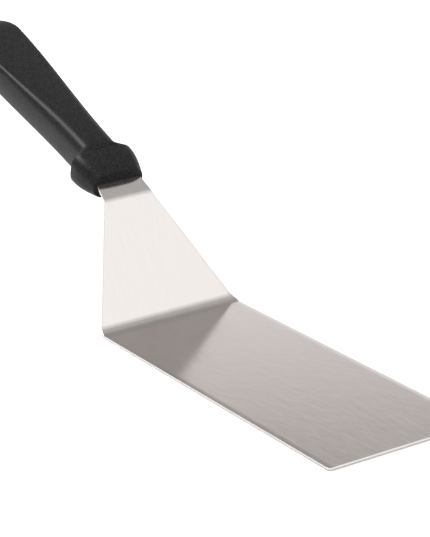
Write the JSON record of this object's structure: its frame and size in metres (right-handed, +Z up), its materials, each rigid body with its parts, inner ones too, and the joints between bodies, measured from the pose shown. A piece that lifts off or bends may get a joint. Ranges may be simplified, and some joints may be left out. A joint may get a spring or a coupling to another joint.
{
  "type": "ink knife",
  "caption": "Cranked ink knife: a broad flat stainless blade that steps up through a tapered neck to a black plastic handle with a flared collar.",
  "frame": {"origin": "centre of the blade's flat underside, half way between its front edge and the sharp corner of the crank", "axes": "+X from the handle towards the blade's front edge, +Y to the user's left when the handle points at the user, +Z up, square to the blade"},
  "size_m": [0.3922, 0.075, 0.1179],
  "materials": {
    "stainless": "fine lengthwise brushing, satin",
    "handle_plastic": "black moulded polypropylene with a fine stipple, satin"
  },
  "bodies": {
    "root": {"blade": "stainless", "handle": "handle_plastic"}
  },
  "joints": []
}
